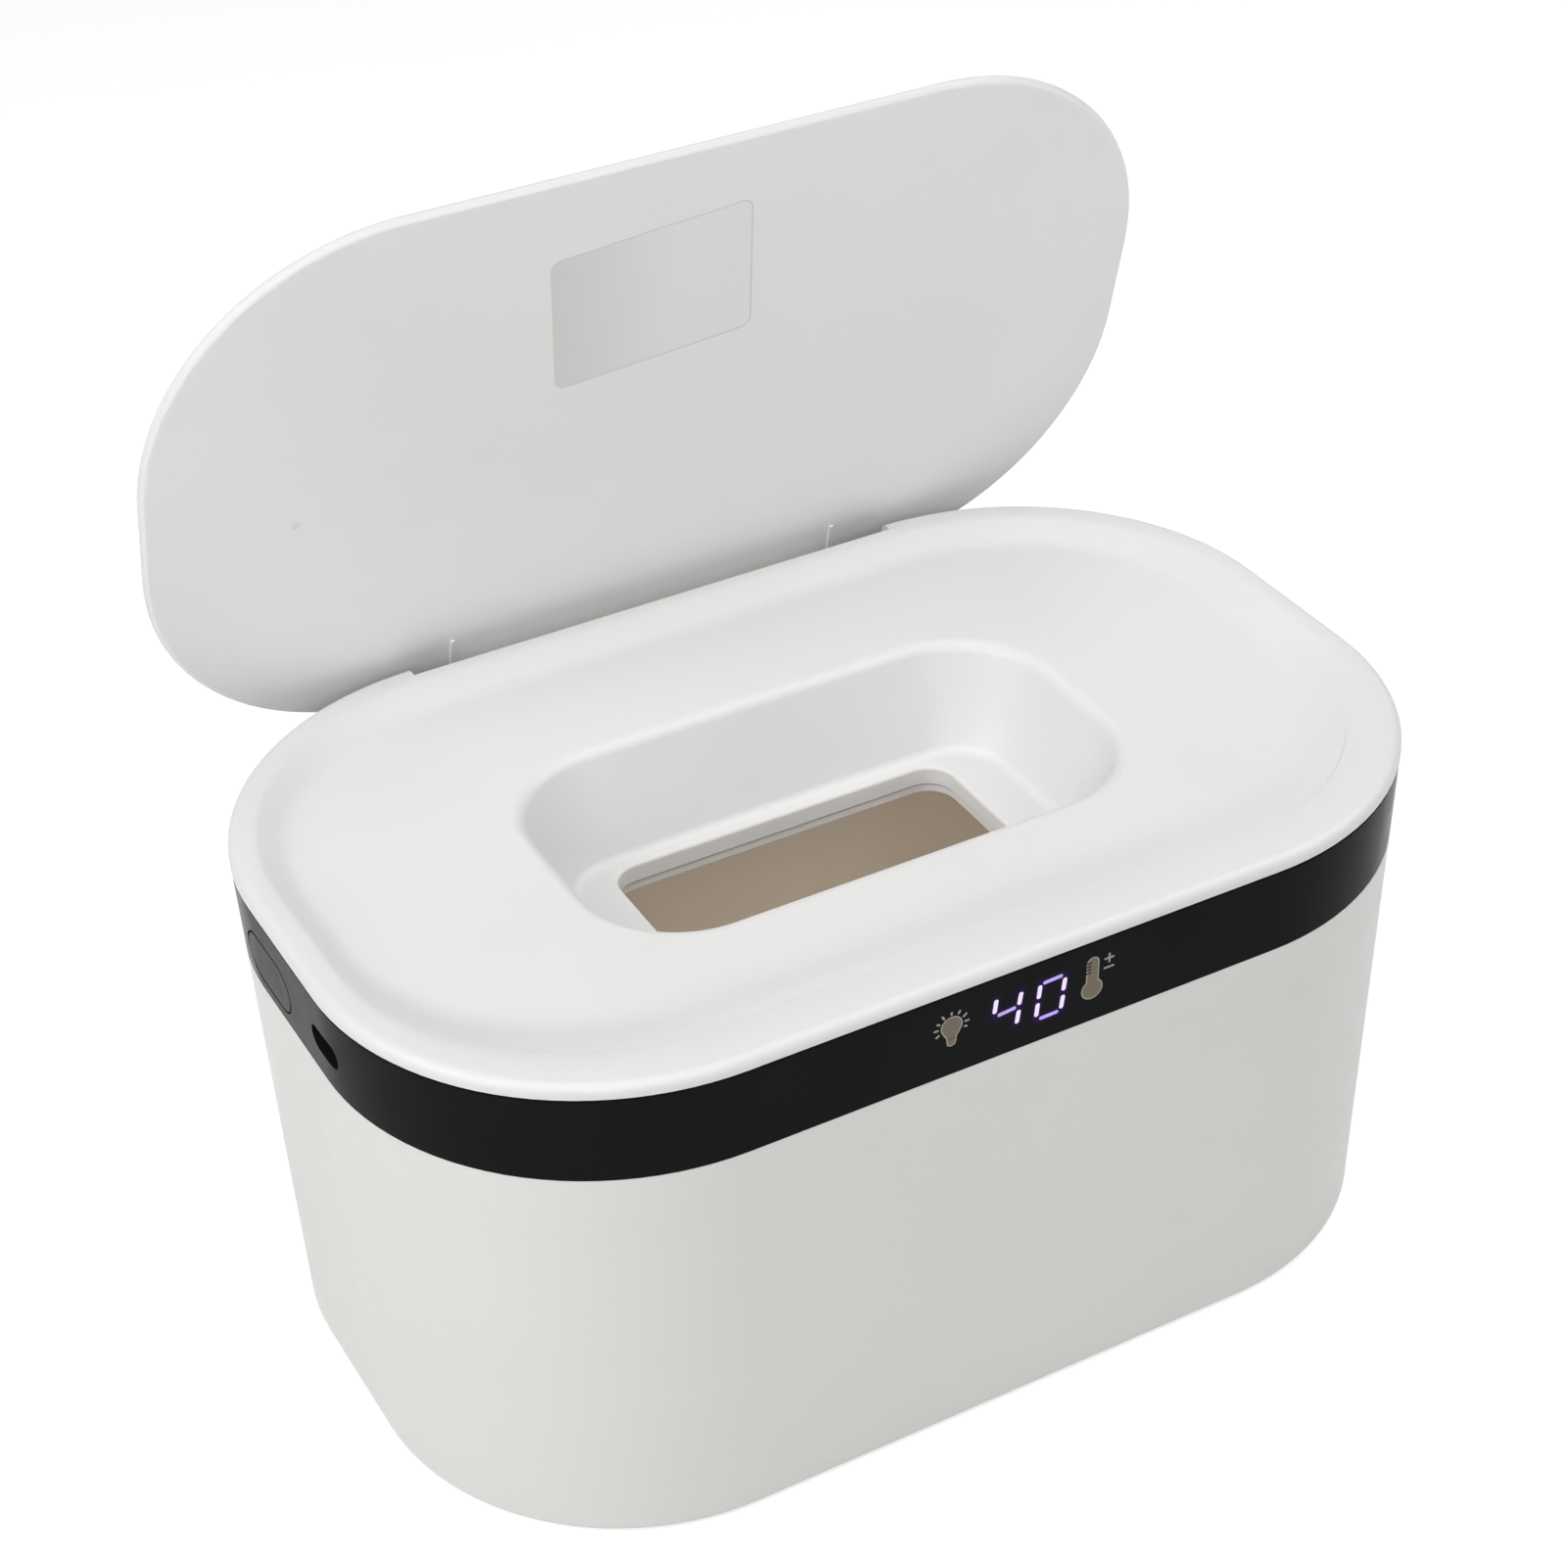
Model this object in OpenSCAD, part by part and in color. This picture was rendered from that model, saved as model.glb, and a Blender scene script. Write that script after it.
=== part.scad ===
// Baby wipe warmer with a lift-off top frame and a leaning lid on a goose-neck hinge.
// Millimetres. Z points up, X runs along the long side, and -Y is the front with the display.
// The origin lies on the table, under the middle of the body.

/* [Outer shape] */
// Length over the rim
body_l = 210; // [204:1:222]
// Depth over the rim
body_d = 135.7; // [132:0.1:144]
// Radius of the four upright corners at the rim
corner_r = 53.2; // [51:0.1:55]
// Height of the rim above the table
rim_z = 104.6; // [98:0.1:125]
// Slope of the side walls in degrees
draft = 1.8; // [1:0.1:2.2]
// Height of the white side face of the top frame
rim_side_h = 2.8; // [2.6:0.1:3.6]
// Height of the black band
band_h = 17.2; // [16.8:0.1:20]
// Rounding of the rim's outer edge
rim_round = 1.8; // [1:0.1:2.2]
// Rounding of the shell's bottom edge
bottom_round = 1; // [0.5:0.1:1.6]
// How far the feet stand out below the bottom cover
foot_proud = 0.6; // [0.4:0.1:1.5]

/* [Walls] */
// Wall of the outer shell
shell_wall = 2.2; // [2:0.1:2.6]
// Wall of the black band
band_wall = 2.2; // [1.8:0.1:2.4]
// Wall of the top frame
frame_wall = 2.4; // [2:0.1:2.8]
// Wall of the inner tub
tub_wall = 2; // [1.6:0.1:2.4]
// Thickness of the bottom cover
cover_t = 2.4; // [2:0.1:3]

/* [Tray and recess] */
// Depth of the tray below the rim
tray_drop = 4; // [3:0.1:4.5]
// Width of the flat lip at the ends and the back
lip_w = 5; // [4.4:0.1:5.4]
// Width of the flat lip at the front
lip_front_w = 7.9; // [6:0.1:10]
// How far the tray's crease lies inside the lid's outline
crease_inset = 6; // [5:0.1:7]
// Width of the soft crease at the foot of the tray's slope
crease_w = 3; // [1:0.1:4]
// Width of the soft edge at the top of the tray's slope
brink_w = 1.2; // [0.4:0.1:1.6]
// Length of the recess at its mouth
recess_l = 107.6; // [100:0.1:120]
// Depth of the recess at its mouth, front to back
recess_d = 59; // [56:0.1:66]
// Corner radius of the recess at its mouth
recess_r = 20; // [17:0.1:22]
// How far the floor of the recess lies below the tray
recess_h = 19.9; // [16:0.1:22]
// How far the recess narrows on each side down to its floor
recess_taper = 8.3; // [6:0.1:9]
// Rounding of the mouth
mouth_round = 3; // [1.5:0.1:4]
// Rounding where the wall of the recess meets its floor
foot_round = 2.5; // [1.5:0.1:3]
// Length of the slot
slot_l = 71; // [60:0.1:74]
// Width of the slot
slot_w = 37.4; // [30:0.1:38]
// Corner radius of the slot
slot_r = 5.5; // [4:0.1:8]
// Rounding of the slot's upper edge
slot_round = 0.8; // [0.4:0.1:1.2]
// Depth of the slot's wall down to the seam of the liner
slot_wall_h = 3.8; // [3.4:0.1:6]
// Thickness of the slot liner
liner_t = 2.1; // [1.6:0.1:3]
// How much wider than the slot the liner opens on each side
liner_step = 0.5; // [0.2:0.1:1]

/* [Lid and hinge] */
// How far the ends of the lid lie inside the rim
lid_end_inset = 3.5; // [3:0.1:5]
// How far the lid's front edge lies inside the rim
lid_front_inset = 16; // [12:0.5:18]
// Thickness of the lid
lid_t = 2.2; // [2:0.1:2.6]
// How far the lid's back edge lies inside the rim
lid_back_inset = 4.2; // [3.8:0.1:4.6]
// Gap between the closed lid and the rim
lid_gap = 1.8; // [1.6:0.1:2.6]
// Angle that the lid opens, in degrees
lid_open = 75; // [60:1:80]
// How far the ends of the hinge arm lie inside the corner centres
arm_in = 9.8; // [7:0.1:14]
// Thickness of the hinge arm
arm_t = 2.3; // [2:0.1:2.5]
// Height of the hinge axis below the rim
hinge_drop = 10.5; // [10.4:0.1:11]
// How far the hinge axis lies inside the back face
hinge_in = 7.25; // [7.1:0.01:7.4]
// Radius of the hinge barrel
barrel_r = 4.8; // [4:0.1:4.8]
// Radius of the hinge pins
pin_r = 1.5; // [1:0.1:2]
// How far the notch at the back of the rim runs past the corner centres
notch_past = 0.2; // [0.1:0.1:1]
// Depth of the notch at the back of the rim
notch_d = 3.15; // [3.1:0.01:3.3]

/* [Inner tub] */
// Distance from the corner centres to the outside of the tub's wall at the top
tub_r = 40; // [38:0.1:40]
// Slope of the tub's walls in degrees
tub_draft = 1; // [0.5:0.1:1.5]
// Rounding between the tub's wall and floor, inside
tub_round = 6; // [3:0.5:10]
// Height of the tub's collar above its flange
collar_h = 9.9; // [8:0.1:10]
// Thickness of the tub's flange
flange_t = 2; // [1.6:0.1:2.4]
// Thickness of the insulation under the tub
pad_t = 5; // [4:0.1:6]
// Thickness of the insulation round the tub
sleeve_t = 3; // [2:0.1:3]
// Thickness of the heat spreader
spreader_t = 1.5; // [1:0.1:2]
// Thickness of the heating film
film_t = 0.6; // [0.4:0.1:1]
// How far the heat spreader stays inside the tub's rounded foot
spreader_in = 1.7; // [0.5:0.1:4]
// How far the heating film stays inside the heat spreader
film_in = 2; // [1:0.1:4]

/* [Controls] */
// Length of the side button
button_l = 19.2; // [16:0.1:20]
// Height of the side button
button_h = 9.4; // [8:0.1:9.6]
// Place of the side button along Y
button_y = 9.4; // [6:0.1:11]
// Travel of the side button
button_travel = 0.5; // [0.3:0.1:0.5]
// Width of the socket's hole in the band
inlet_w = 10.5; // [10:0.1:12]
// Height of the socket's hole in the band
inlet_h = 5; // [4.6:0.1:6]
// Place of the socket along Y
inlet_y = -15.7; // [-17:0.1:-14]
// Width of the two-digit display
display_w = 24; // [20:0.5:26]
// Height of the two-digit display
display_h = 9; // [8.4:0.1:9]
// Place of the display along X
display_x = 1.4; // [0:0.1:2]
// Place of the lamp key along X
lamp_key_x = -13.9; // [-16:0.1:-13.9]
// Place of the temperature key along X
heat_key_x = 16.9; // [16.7:0.1:18]

/* [Screws and feet] */
// Radius of the case screws
screw_r = 1.5; // [1.3:0.1:1.6]
// Radius of the small screws
small_screw_r = 1; // [0.8:0.1:1.1]
// Radius of the feet
foot_r = 6; // [5:0.5:8]
// Thickness of the feet
foot_t = 1.8; // [1.6:0.1:2.4]

/* [Clearances] */
// Gap between pieces that lift apart or slide
loose = 0.3; // [0.2:0.05:0.35]
// Gap between pieces that sit in one another for good
snug = 0.15; // [0.1:0.01:0.2]
// Radial gap of a pin that turns
running = 0.05; // [0.03:0.01:0.08]
// Radial gap round a fixed screw or pin
tight = 0.02; // [0.01:0.01:0.03]
// Radial gap of a screw in its clearance hole
through = 0.2; // [0.1:0.05:0.3]
// Open seam between the black band and the top frame
seam_gap = 0.2; // [0.1:0.05:0.3]

/* [Hidden] */
$fn = 96;
// Corner centres of the body
cx = body_l / 2 - corner_r;
cy = body_d / 2 - corner_r;
// Heights of the stack from the table up
cover_z = foot_proud;
pad_z = cover_z + cover_t + snug;
film_z = pad_z + pad_t;
spreader_z = film_z + film_t;
tub_z = spreader_z + spreader_t;
band_top = rim_z - rim_side_h;
band_z = band_top - band_h;
flange_z = band_z - flange_t;
collar_top = band_z + collar_h;
tray_z = rim_z - tray_drop;
bay_roof = tray_z - frame_wall;
recess_z = tray_z - recess_h;
seam_z = recess_z - slot_wall_h;
frame_z = band_top + seam_gap;
// Small shared sizes
lap = 1;
edge_round = 0.4;
locator_drop = 3.8;
locator_w = 2;
over = 1;
ring_t = 0.02;
tray_past = 1.25;
// Corner centres and floor of the recess, and the lean of its wall
rx = recess_l / 2 - recess_r;
ry = recess_d / 2 - recess_r;
floor_r = recess_r - recess_taper;
recess_lean = atan(recess_taper / recess_h);
// Corner centres of the slot
sx = slot_l / 2 - slot_r;
sy = slot_w / 2 - slot_r;
liner_margin = 9.2;
liner_post_r = 3;
liner_post_out = 4.8;
liner_post_y = 8.5;
liner_bore = 3;
liner_bite = 2.6;
// Lid outline, its arm and hinge axis
lid_r = corner_r - lid_back_inset;
lid_cx = body_l / 2 - lid_end_inset - lid_r;
lid_cy = (body_d - lid_back_inset - lid_front_inset) / 2 - lid_r;
lid_y = (lid_front_inset - lid_back_inset) / 2;
lid_back = lid_y + lid_cy + lid_r;
arm_w = 2 * (cx - arm_in);
notch_l = 2 * (cx + notch_past);
lid_z = rim_z + lid_gap;
hinge_y = body_d / 2 - hinge_in;
hinge_z = rim_z - hinge_drop;
arm_play = 0.4;
arm_back = body_d / 2 - notch_d + arm_play + arm_t;
arm_bend = 1.2;
arm_root = 4;
barrel_play = 0.5;
sill_h = 2.5;
web_t = 2.5;
ear_r = 4.2;
ear_t = 5;
side_gap = 0.6;
pin_depth = 6;
gusset_t = 0.8;
gusset_h = 0.4;
gusset_l = 6.5;
gusset_in = 5.5;
// Heat spreader, film and pad under the tub's flat foot
foot_flat = tub_side(tub_z) - tub_wall - tub_round;
spreader_r = foot_flat - spreader_in;
film_r = spreader_r - film_in;
pad_r = foot_flat + loose;
sensor_x = 24;
sensor_r = 1.4;
sensor_l = 10;
fuse_x = -28;
fuse_r = 1.9;
fuse_l = 12;
fuse_wire_r = 0.5;
fuse_wire_l = 16;
// Screw posts, measured along the diagonal from the corner centres
band_post_r = 3.5;
band_post_at = 45.6;
band_post_h = 10;
shell_post_r = 3.6;
shell_post_at = 43.3;
shell_post_h = 19;
post_rib_t = 2;
post_floor = 3;
head_r = 2.75;
head_h = 1.8;
base_bite = 10;
band_bite = 8;
foot_at = 24;
cover_pad_h = 2;
sleeve_gap = 1.5;
// Sealing ring: lip over the collar and skirts on both sides
ring_lip = 0.6;
ring_inner_lip = 0.8;
ring_skirt = 1.5;
// Boards
board_t = 1.6;
board_gap = 0.8;
board_top = bay_roof - board_gap;
board_foot = band_z + board_gap;
display_rise = 8.6;
display_z = band_z + display_rise;
display_t = 4.4;
display_front = cy + side_r(band_z) - band_wall - snug;
display_back = display_front - display_t;
display_board_l = 68;
display_board_h = 11.4;
display_screw_x = 30.5;
spring_r = 2.6;
spring_wire = 0.6;
led_x = 24;
led_w = 5;
led_t = 1.6;
power_back = 44.2;
power_x = -cx - power_back;
small_post_r = 2.4;
small_head_r = 1.9;
small_head_h = 1.2;
thread_l = 3.6;
thread_bore = 4;
ribbon_at = 41.1;
ribbon_t = 0.5;
ribbon_h = 5;
ribbon_rise = 2.4;
ribbon_z = band_z + ribbon_rise;
plug_w = 6;
plug_x = small_head_r + 1 - display_screw_x;
plug_rim = 0.4;
plug_d = display_back - board_t - (cy + ribbon_at + ribbon_t / 2);
// Side button, its switch, and the power inlet
button_rise = 7.05;
button_z = band_z + button_rise;
button_rim = 0.8;
button_flange_t = 1.2;
button_flange_in = 0.55;
button_flange_x = -cx - side_r(band_z) + band_wall + button_flange_in;
switch_w = 6;
stem_r = 1.65;
stem_play = 0.1;
switch_h = 3.4;
switch_floor = 1.2;
inlet_rise = 7.9;
inlet_z = band_z + inlet_rise;
hole_l = 8;
socket_w = 9;
socket_h = 3.3;
socket_wall = 0.3;
socket_in = 0.6;
socket_l = side_r(band_z) - band_wall - socket_in - power_back;
socket_floor = 1;
tongue_w = 6.6;
tongue_t = 0.7;
// Capacitor between socket and switch, and coil behind the switch
part_gap = 2.4;
capacitor_r = 2.5;
capacitor_y = inlet_y + socket_w / 2 + part_gap + capacitor_r;
coil_w = 6;
coil_t = 3.2;
coil_y = button_y + switch_w / 2 + part_gap;
// Ends of the power board beyond the socket and the coil, and its screws
power_front_past = 9.8;
power_rear_past = 7.2;
power_front_y = inlet_y - socket_w / 2 - power_front_past;
power_rear_y = coil_y + coil_w + power_rear_past;
power_screw_in = 2.2;
power_screw_ys = [power_front_y + power_screw_in, power_rear_y - power_screw_in];
post_bite = 0.6;
// Leads of the heating film
lead_r = 0.8;
lead_x = power_x - lead_r;
lead_pitch = 2;
lead_ys = [inlet_y - lead_pitch / 2, inlet_y + lead_pitch / 2];
lead_up = 3;
lead_bend = 6;
lead_grip = 4;
lead_z = film_z - lead_r;

// Distance of the outer face from the corner centres at a height
function side_r(z) = corner_r - (rim_z - z) * tan(draft);

// Distance of the tub's outside from the corner centres at a height
function tub_side(z) = tub_r - max(0, flange_z - z) * tan(tub_draft);

// Length of a post from the power board to the band's wall, which curves away past cy
function power_post_l(y) =
    sqrt(pow(side_r(inlet_z) - band_wall, 2) - pow(max(0, abs(y) - cy), 2))
    - power_back + post_bite;

// Points along an arc about c
function arc(c, r, a0, a1, n = 5) =
    [for (i = [0:n]) c + r * [cos(a0 + (a1 - a0) * i / n), sin(a0 + (a1 - a0) * i / n)]];

// Point on the diagonal of a corner, at a distance from its centre
function diagonal(d) = [cx + d * cos(45), cy + d * sin(45), 0];

// Sweeps a profile of (distance from corner centre, height) round a rounded rectangle
module sweep_round(x, y) {
    for (mx = [0, 1], my = [0, 1])
        mirror([mx, 0, 0]) mirror([0, my, 0])
            translate([x, y, 0]) rotate_extrude(angle = 90) children();
    for (mx = [0, 1])
        mirror([mx, 0, 0])
            translate([x, y, 0]) rotate([90, 0, 0]) linear_extrude(2 * y) children();
    for (my = [0, 1])
        mirror([0, my, 0])
            translate([-x, y, 0]) rotate([90, 0, 90]) linear_extrude(2 * x) children();
}

// The same sweep with its middle filled between two heights
module filled_round(x, y, z0, z1) {
    sweep_round(x, y) children();
    translate([-x, -y, z0]) cube([2 * x, 2 * y, z1 - z0]);
}

// A plain plate with rounded corners
module plate(x, y, r, z, t) {
    filled_round(x, y, z, z + t) translate([0, z]) square([r, t]);
}

// Repeats something in all four corners
module four_corners() {
    for (mx = [0, 1], my = [0, 1])
        mirror([mx, 0, 0]) mirror([0, my, 0]) children();
}

// A plate with two round ends, its length along X and its foot at z = 0
module stadium(l, w, t) {
    translate([-(l - w) / 2, -w / 2, 0]) cube([l - w, w, t]);
    for (m = [0, 1])
        mirror([m, 0, 0]) translate([(l - w) / 2, 0, 0])
            rotate([0, 0, -90]) rotate_extrude(angle = 180) square([w / 2, t]);
}

// A pan-head screw with the underside of its head at z = 0, pointing up
module screw(r, l, hr, hh) {
    cylinder(h = l, r = r);
    translate([0, 0, -hh]) cylinder(h = hh, r = hr);
}

// Turns something built upright so that it points along -X, or along -Y
module facing_left() {
    rotate([0, -90, 0]) children();
}
module facing_front() {
    rotate([90, 0, 0]) children();
}

// Outer shell: tapered wall, stepped at the top to seat the tub, with four screw posts below
module outer_shell() {
    top_r = side_r(band_z);
    foot_side = side_r(cover_z);
    post_z = cover_z + cover_t + cover_pad_h;
    color("#f0efed") difference() {
        union() {
            sweep_round(cx, cy) polygon(concat(
                [[foot_side - shell_wall, cover_z]],
                arc([foot_side - bottom_round, cover_z + bottom_round], bottom_round, -90, 0),
                arc([top_r - edge_round, band_z - edge_round], edge_round, 0, 90, 2),
                [[top_r - lap, band_z], [top_r - lap, flange_z],
                 [side_r(flange_z) - shell_wall, flange_z]]
            ));
            four_corners() {
                translate(diagonal(shell_post_at) + [0, 0, post_z])
                    cylinder(h = shell_post_h, r = shell_post_r);
                translate([cx, cy, post_z]) rotate([0, 0, 45])
                    translate([shell_post_at, -post_rib_t / 2, 0])
                        cube([side_r(post_z) - lap - shell_post_at, post_rib_t, shell_post_h]);
            }
        }
        four_corners() translate(diagonal(shell_post_at) + [0, 0, post_z - over])
            cylinder(h = shell_post_h - post_floor + over, r = screw_r + tight);
    }
}

// Bottom cover: plate inside the shell's foot, with foot pockets and sunk screw heads
module base_cover() {
    cover_r = side_r(cover_z) - shell_wall - snug;
    color("#e8e7e4") difference() {
        union() {
            plate(cx, cy, cover_r, cover_z, cover_t);
            four_corners() translate(diagonal(shell_post_at) + [0, 0, cover_z + cover_t])
                cylinder(h = cover_pad_h, r = shell_post_r);
        }
        four_corners() {
            translate(diagonal(shell_post_at) + [0, 0, cover_z - over]) {
                cylinder(h = cover_t + cover_pad_h + 2 * over, r = screw_r + through);
                cylinder(h = over + cover_t, r = head_r + through);
            }
            translate(diagonal(foot_at) + [0, 0, cover_z - over])
                cylinder(h = over + foot_t - foot_proud, r = foot_r + snug);
        }
    }
}

module rubber_feet() {
    color("#3a3a3a") four_corners() translate(diagonal(foot_at)) rotate_extrude()
        polygon(concat(
            [[0, 0]],
            arc([foot_r - edge_round, edge_round], edge_round, -90, 0, 3),
            [[foot_r, foot_t], [0, foot_t]]
        ));
}

module base_screws() {
    color("#9a9c9e") four_corners()
        translate(diagonal(shell_post_at) + [0, 0, cover_z + cover_t])
            screw(screw_r, cover_pad_h + base_bite, head_r, head_h);
}

// Black band: holes for button and socket at the left, gap for the hinge arm at the back,
// posts for its own screws and for the boards
module control_band() {
    color("#1b1c1e") difference() {
        union() {
            sweep_round(cx, cy) polygon([
                [side_r(band_z) - band_wall, band_z], [side_r(band_z), band_z],
                [side_r(band_top), band_top], [side_r(band_top) - band_wall, band_top]
            ]);
            four_corners() {
                translate(diagonal(band_post_at) + [0, 0, band_z])
                    cylinder(h = band_post_h, r = band_post_r);
                translate([cx, cy, band_z]) rotate([0, 0, 45])
                    translate([band_post_at, -post_rib_t / 2, 0])
                        cube([side_r(band_z) - lap - band_post_at, post_rib_t, band_post_h]);
            }
            for (x = [-1, 1])
                translate([x * display_screw_x, -display_back, display_z])
                    facing_front() cylinder(h = display_t + lap, r = small_post_r);
            for (y = power_screw_ys)
                translate([power_x, y, inlet_z])
                    facing_left() cylinder(h = power_post_l(y), r = small_post_r);
        }
        four_corners() translate(diagonal(band_post_at) + [0, 0, band_z - over])
            cylinder(h = band_post_h, r = screw_r + tight);
        for (x = [-1, 1])
            translate([x * display_screw_x, -display_back + over, display_z])
                facing_front() cylinder(h = thread_bore + over, r = small_screw_r + tight);
        for (y = power_screw_ys)
            translate([power_x + over, y, inlet_z])
                facing_left() cylinder(h = thread_bore + over, r = small_screw_r + tight);
        translate([-body_l / 2 - over, button_y, button_z]) rotate([90, 0, 90])
            stadium(button_l + 2 * snug, button_h + 2 * snug, hole_l);
        translate([-body_l / 2 - over, inlet_y, inlet_z]) rotate([90, 0, 90])
            stadium(inlet_w, inlet_h, hole_l);
        translate([-arm_w / 2 - side_gap, cy, band_z + sill_h])
            cube([arm_w + 2 * side_gap, side_r(band_top) + over, band_h]);
    }
}

module band_screws() {
    color("#9a9c9e") four_corners()
        translate(diagonal(band_post_at) + [0, 0, flange_z])
            screw(screw_r, flange_t + band_bite, head_r, head_h);
}

// Inner tub: rounded foot, flange that the band clamps on the shell, and a collar above it
module inner_tub() {
    flange_r = side_r(band_z) - lap - snug;
    foot_out = tub_side(tub_z);
    foot_in = foot_out - tub_wall;
    out_round = tub_round + tub_wall;
    color("#e6dfd4") difference() {
        filled_round(cx, cy, tub_z, tub_z + tub_wall) polygon(concat(
            [[0, tub_z]],
            arc([foot_out - out_round, tub_z + out_round], out_round, -90, 0),
            [[tub_side(flange_z), flange_z], [flange_r, flange_z], [flange_r, band_z],
             [tub_r, band_z], [tub_r, collar_top], [tub_r - tub_wall, collar_top],
             [tub_side(flange_z) - tub_wall, flange_z]],
            arc([foot_in - tub_round, tub_z + out_round], tub_round, 0, -90),
            [[0, tub_z + tub_wall]]
        ));
        four_corners() translate(diagonal(band_post_at) + [0, 0, flange_z - over])
            cylinder(h = flange_t + 2 * over, r = screw_r + through);
        for (y = lead_ys)
            translate([lead_x, y, flange_z - over])
                cylinder(h = flange_t + 2 * over, r = lead_r + loose / 2);
    }
}

module heat_spreader() {
    color("#b8bbbd") plate(cx, cy, spreader_r, spreader_z, spreader_t);
}

module heater_film() {
    color("#c9752c") plate(cx, cy, film_r, film_z, film_t);
}

// Foam under the tub, with pockets for the sensor, the cut-out and the leads
module insulation_pad() {
    color("#d8d8d4") difference() {
        plate(cx, cy, pad_r, pad_z, pad_t);
        pad_pocket(sensor_x, sensor_l, sensor_r);
        pad_pocket(fuse_x, fuse_wire_l, fuse_r);
        for (y = lead_ys)
            translate([-cx - pad_r - over, y - lead_r - snug, lead_z - lead_r - snug])
                cube([pad_r - film_r + lead_grip + 2 * over, 2 * (lead_r + snug),
                      2 * lead_r + over]);
    }
}

// Pocket in the pad for a round part that lies along X against the film
module pad_pocket(x, l, r) {
    translate([x - l / 2 - over, -r - over, film_z - 2 * r - loose])
        cube([l + 2 * over, 2 * (r + over), 2 * r + loose + over]);
}

// Foam wrap between the screw posts and the flange
module insulation_sleeve() {
    z0 = cover_z + cover_t + cover_pad_h + shell_post_h + sleeve_gap;
    z1 = flange_z - head_h - sleeve_gap;
    in0 = tub_side(z0) + tight;
    in1 = tub_side(z1) + tight;
    color("#d8d8d4") sweep_round(cx, cy)
        polygon([[in0, z0], [in0 + sleeve_t, z0], [in1 + sleeve_t, z1], [in1, z1]]);
}

module thermistor() {
    color("#202020") translate([sensor_x, 0, film_z - sensor_r]) rotate([0, 90, 0])
        cylinder(h = sensor_l, r = sensor_r, center = true);
}

module thermal_fuse() {
    color("#c8cacc") translate([fuse_x, 0, film_z - fuse_r]) rotate([0, 90, 0]) {
        cylinder(h = fuse_l, r = fuse_r, center = true);
        cylinder(h = fuse_wire_l, r = fuse_wire_r, center = true);
    }
}

// Soft ring that straddles the tub's collar and closes the gap below the tray
module sealing_ring() {
    top = bay_roof - loose;
    foot = collar_top - ring_skirt;
    tub_in = tub_r - tub_wall;
    color("#f4f4f2") sweep_round(cx, cy) polygon([
        [tub_r + ring_lip, foot], [tub_r + ring_lip, top - ring_lip],
        [tub_r, top], [tub_in, top],
        [tub_in - ring_inner_lip, top - ring_inner_lip], [tub_in - ring_inner_lip, foot],
        [tub_in - snug, foot], [tub_in - snug, collar_top + tight],
        [tub_r + snug, collar_top + tight], [tub_r + snug, foot]
    ]);
}

// Board behind the display, with the ribbon's connector on its back
module display_board() {
    color("#1f5b3a") difference() {
        union() {
            translate([-display_board_l / 2, -display_back, display_z - display_board_h / 2])
                cube([display_board_l, board_t, display_board_h]);
            translate([plug_x, -display_back + board_t, ribbon_z - plug_rim])
                cube([plug_w, plug_d, ribbon_h + 2 * plug_rim]);
        }
        for (x = [-1, 1])
            translate([x * display_screw_x, -display_back - over, display_z])
                mirror([0, 1, 0]) facing_front()
                    cylinder(h = board_t + 2 * over, r = small_screw_r + snug);
    }
}

module display_module() {
    color("#26262a")
        translate([display_x - display_w / 2, -display_front, display_z - display_h / 2])
            cube([display_w, display_t, display_h]);
}

// Contact springs that carry the touch keys from the board to the back of the band
module touch_springs() {
    color("#c2a85a")
        for (x = [lamp_key_x, heat_key_x])
            translate([x, -display_back, display_z]) facing_front() difference() {
                cylinder(h = display_t, r = spring_r);
                translate([0, 0, -over])
                    cylinder(h = display_t + 2 * over, r = spring_r - spring_wire);
            }
}

module night_light_leds() {
    color("#f6f0d0")
        for (x = [-1, 1])
            translate([x * led_x - led_w / 2, -display_back - led_t,
                       display_z + display_board_h / 2 - led_w])
                cube([led_w, led_t, led_w]);
}

// Board behind the left end of the band
module power_board() {
    color("#1f5b3a") difference() {
        union() {
            translate([power_x, power_front_y, board_foot])
                cube([board_t, power_rear_y - power_front_y, board_top - board_foot]);
            translate([power_x + board_t, -cy, ribbon_z - plug_rim])
                cube([power_back - board_t - ribbon_at - ribbon_t / 2, plug_w,
                      ribbon_h + 2 * plug_rim]);
        }
        for (y = power_screw_ys)
            translate([power_x + board_t + over, y, inlet_z])
                facing_left() cylinder(h = board_t + 2 * over, r = small_screw_r + snug);
    }
}

// Capacitor standing along the board and coil beside the switch
module power_parts() {
    color("#2c3c66")
        translate([power_x - capacitor_r, capacitor_y, board_foot + loose])
            cylinder(h = board_top - board_foot - 2 * loose, r = capacitor_r);
    color("#55585c")
        translate([power_x - coil_t, coil_y, button_z - coil_w / 2])
            cube([coil_t, coil_w, coil_w]);
}

module board_screws() {
    color("#9a9c9e") {
        for (x = [-1, 1])
            translate([x * display_screw_x, -display_back + board_t, display_z])
                facing_front() screw(small_screw_r, board_t + thread_l, small_head_r, small_head_h);
        for (y = power_screw_ys)
            translate([power_x + board_t, y, inlet_z])
                facing_left() screw(small_screw_r, board_t + thread_l, small_head_r, small_head_h);
    }
}

// Metal shell of the inlet, standing on the board
module power_socket() {
    color("#b9babc") translate([power_x - socket_l, inlet_y, inlet_z]) rotate([90, 0, 90])
        difference() {
            stadium(socket_w, socket_h, socket_l - tight);
            translate([0, 0, -over])
                stadium(socket_w - 2 * socket_wall, socket_h - 2 * socket_wall,
                        socket_l - socket_floor + over);
        }
}

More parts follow.
